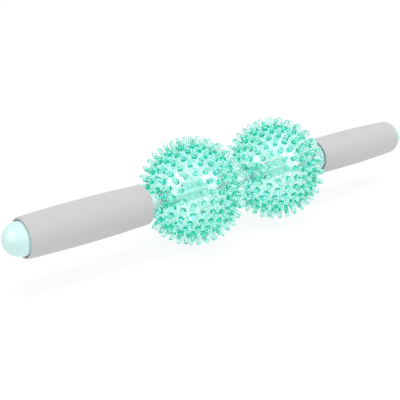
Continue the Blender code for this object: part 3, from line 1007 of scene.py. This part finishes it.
class ROLLER_OT_handles(bpy.types.Operator):
    """Make the moulded handle cores and the domed caps"""

    bl_idname = "roller.handles"
    bl_label = "Handle Cores and Caps"

    def execute(self, context):
        look = context.scene.roller_plastics
        grips = context.scene.roller_grips
        material = satin_material("Pale Cap Plastic", look, look.colour)
        core = turned_mesh("right_core_turned", self.core_outline(look, grips), HANDLE_FACETS)
        dome = turned_mesh("right_dome_turned", self.dome_outline(look), HANDLE_FACETS, closed=False)
        new_pair("core_turned", core, material, "handle_core")
        new_pair("dome_turned", dome, material, "dome_cap")
        return {"FINISHED"}

    @staticmethod
    def core_outline(look, grips):
        edge = look.edge_rounding
        collar_start = GRIP.start - look.collar_rim
        collar_end = GRIP.start + grips.mouth_depth - FIT_GAP
        shoulder = CORE.end - look.core_end_bore_depth
        nose_end = CORE.start + look.nose_length
        return rounded([
            (CORE.start, AXLE_BORE, 0.0),
            (CORE.start, look.neck_radius, 4 * edge),
            (collar_start - look.collar_flare, look.neck_radius, 2 * edge),
            (collar_start, CORE.radius, 2 * edge),
            (collar_end, CORE.radius, edge),
            (collar_end, look.core_radius, 0.0),
            (CORE.end, look.core_radius, edge),
            (CORE.end, look.core_end_bore_radius, 0.0),
            (shoulder, look.core_end_bore_radius, 0.0),
            (shoulder, look.core_bore_radius, 0.0),
            (nose_end, look.core_bore_radius, 0.0),
            (nose_end, AXLE_BORE, 0.0),
        ])

    @staticmethod
    def dome_outline(look):
        stem_radius = look.core_end_bore_radius - FIT_GAP
        stem_bore = stem_radius - look.dome_stem_wall
        stem_end = DOME.start
        base = stem_end + look.dome_stem_length
        centre = DOME.end - DOME.radius
        hollow = DOME.radius - look.dome_wall
        mouth = math.asin(stem_bore / hollow)
        return [
            *arc(centre, DOME.radius, 0.0, math.pi / 2, DOME_POINTS),
            (base + look.edge_rounding, DOME.radius),
            (base, DOME.radius - look.edge_rounding),
            (base, stem_radius),
            (stem_end, stem_radius),
            (stem_end, stem_bore),
            *arc(centre, hollow, mouth, 0.0, DOME_HOLLOW_POINTS),
        ]


class ROLLER_OT_axle(bpy.types.Operator):
    """Make the axle, the spacer and the thrust washers, and finish the hidden fastenings"""

    bl_idname = "roller.axle"
    bl_label = "Axle and Fastenings"

    def execute(self, context):
        plastics = context.scene.roller_plastics
        steel = steel_material(context.scene.roller_steel)
        clear = clear_tube_material("Clear Spacer Plastic", context.scene.roller_balls)
        bearing = satin_material("Pale Washer Plastic", plastics, plastics.bearing_colour)
        edge = plastics.edge_rounding
        axle = rounded([
            (AXLE.start, 0.0, 0.0),
            (AXLE.start, AXLE.radius, 2 * edge),
            (AXLE.end, AXLE.radius, 2 * edge),
            (AXLE.end, 0.0, 0.0),
        ])
        axle_mesh = turned_mesh("axle_bar", axle, TUBE_FACETS, closed=False)
        new_piece("axle_bar", axle_mesh, steel, "handle", "axle")
        spacer = tube_outline(SPACER.start, SPACER.end, AXLE_BORE, SPACER.radius, edge)
        spacer_mesh = turned_mesh("spacer_tube", spacer, TUBE_FACETS)
        new_piece("spacer_tube", spacer_mesh, clear, "handle", "centre_spacer")
        for name, place in (("inner_thrust_washer", INNER_WASHER), ("outer_thrust_washer", OUTER_WASHER)):
            outline = tube_outline(place.start, place.end, AXLE_BORE, place.radius, edge)
            mesh = turned_mesh(name, outline, TUBE_FACETS)
            new_pair(f"{name}_turned", mesh, bearing, name)
        for side in ("left", "right"):
            coat(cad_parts[f"{side}_anchor_disc"].data, bearing)
            coat(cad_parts[f"{side}_nut_washer"].data, steel)
            coat(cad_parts[f"{side}_axle_nut"].data, steel)
        return {"FINISHED"}


class ROLLER_OT_stage(bpy.types.Operator):
    """Set up the camera, the pale floor and the soft light"""

    bl_idname = "roller.stage"
    bl_label = "Stage"

    def execute(self, context):
        look = context.scene.roller_stage
        context.scene.view_settings.view_transform = "Standard"
        for limit in ("max_bounces", "glossy_bounces", "transmission_bounces", "transparent_max_bounces"):
            setattr(context.scene.cycles, limit, look.bounces)
        self.add_camera(context, look)
        self.add_floor(look)
        self.light_world(context, look)
        self.add_lamps(look)
        return {"FINISHED"}

    @staticmethod
    def add_camera(context, look):
        lens = bpy.data.cameras.new("camera")
        lens.lens = look.lens
        lens.clip_start = CLIP_START
        camera = new_object("camera", lens)
        camera.location = look.camera_place
        camera.rotation_euler = (math.pi / 2 - look.camera_dip, 0.0, look.camera_heading)
        context.scene.camera = camera

    @staticmethod
    def add_floor(look):
        """Painted floor that shows the shadow, under an even white that keeps the rest of it pale."""
        material, wires = new_material("White Floor")
        paint = wires.add("ShaderNodeBsdfDiffuse", inputs={"Color": grey(look.floor_paint)})["BSDF"]
        glow = wires.add("ShaderNodeEmission", inputs={
            "Color": grey(1.0),
            "Strength": look.floor_white,
        })["Emission"]
        surface = either_shader(wires, seen_directly(wires) * look.floor_evenness, paint, glow)
        wires.add("ShaderNodeOutputMaterial", inputs={"Surface": surface})
        bm = bmesh.new()
        bmesh.ops.create_grid(bm, x_segments=1, y_segments=1, size=look.floor_size / 2)
        mesh = bpy.data.meshes.new("floor")
        bm.to_mesh(mesh)
        bm.free()
        coat(mesh, material)
        floor = new_object("floor", mesh)

    @staticmethod
    def light_world(context, look):
        """Even light from all round. The camera and clear or shiny pieces see it as plain white."""
        world = bpy.data.worlds.new("soft_studio")
        world.use_nodes = True
        context.scene.world = world
        wires = Wires(world.node_tree)
        strength = look.ambient + (1.0 - look.ambient) * seen_directly(wires)
        inputs = {"Color": grey(1.0), "Strength": strength}
        sky = wires.add("ShaderNodeBackground", inputs=inputs)["Background"]
        wires.add("ShaderNodeOutputWorld", inputs={"Surface": sky})

    @staticmethod
    def add_lamps(look):
        """A wide overhead light, and two soft boxes that leave a shine on the plastic."""
        sun = bpy.data.lights.new("overhead", "SUN")
        sun.energy = look.sun_strength
        sun.angle = look.sun_spread
        overhead = new_object("overhead", sun)
        overhead.rotation_euler = (look.sun_lean, 0.0, 0.0)
        target = Vector((0.0, 0.0, AXLE_HEIGHT))
        for name, way in SOFT_BOXES.items():
            direction = Vector(way)
            box = bpy.data.lights.new(name, "AREA")
            box.energy = look.box_strength
            box.size = look.box_size
            lamp = new_object(name, box)
            lamp.location = target + direction.normalized() * look.box_distance
            lamp.rotation_euler = direction.to_track_quat("Z", "Y").to_euler()
            lamp.visible_diffuse = False
            lamp.visible_transmission = False


def seen_directly(wires):
    """1 for rays from the camera, a reflection or something clear, and 0 for the light that fills."""
    path = wires.add("ShaderNodeLightPath")
    either = path["Is Camera Ray"] + path["Is Glossy Ray"] + path["Is Transmission Ray"]
    return wires.math("MINIMUM", either, 1.0) * (1.0 - wires.math("MINIMUM", path["Diffuse Depth"], 1.0))


class ROLLER_PT_panel(bpy.types.Panel):
    """Lists the roller's pieces and all its settings"""

    bl_label = "Massage Roller"
    bl_idname = "ROLLER_PT_panel"
    bl_space_type = "VIEW_3D"
    bl_region_type = "UI"
    bl_category = "Roller"

    def draw(self, context):
        for operator in OPERATORS:
            self.layout.operator(operator.bl_idname)
        for name, settings in SETTINGS.items():
            box = self.layout.box()
            box.label(text=settings.__doc__)
            for key in settings.__annotations__:
                box.prop(getattr(context.scene, name), key)


OPERATORS = (
    ROLLER_OT_balls,
    ROLLER_OT_hubs,
    ROLLER_OT_grips,
    ROLLER_OT_handles,
    ROLLER_OT_axle,
    ROLLER_OT_stage,
)


def register():
    for settings in SETTINGS.values():
        bpy.utils.register_class(settings)
    for name, settings in SETTINGS.items():
        setattr(bpy.types.Scene, name, PointerProperty(type=settings))
    for operator in OPERATORS:
        bpy.utils.register_class(operator)
    bpy.utils.register_class(ROLLER_PT_panel)


def unregister():
    bpy.utils.unregister_class(ROLLER_PT_panel)
    for operator in reversed(OPERATORS):
        bpy.utils.unregister_class(operator)
    for name, settings in SETTINGS.items():
        delattr(bpy.types.Scene, name)
        bpy.utils.unregister_class(settings)


def main():
    """Make the whole roller on its stage."""
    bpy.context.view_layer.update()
    register()
    bpy.ops.roller.balls()
    bpy.ops.roller.hubs()
    bpy.ops.roller.grips()
    bpy.ops.roller.handles()
    bpy.ops.roller.axle()
    bpy.ops.roller.stage()


if __name__ == "__main__":
    main()
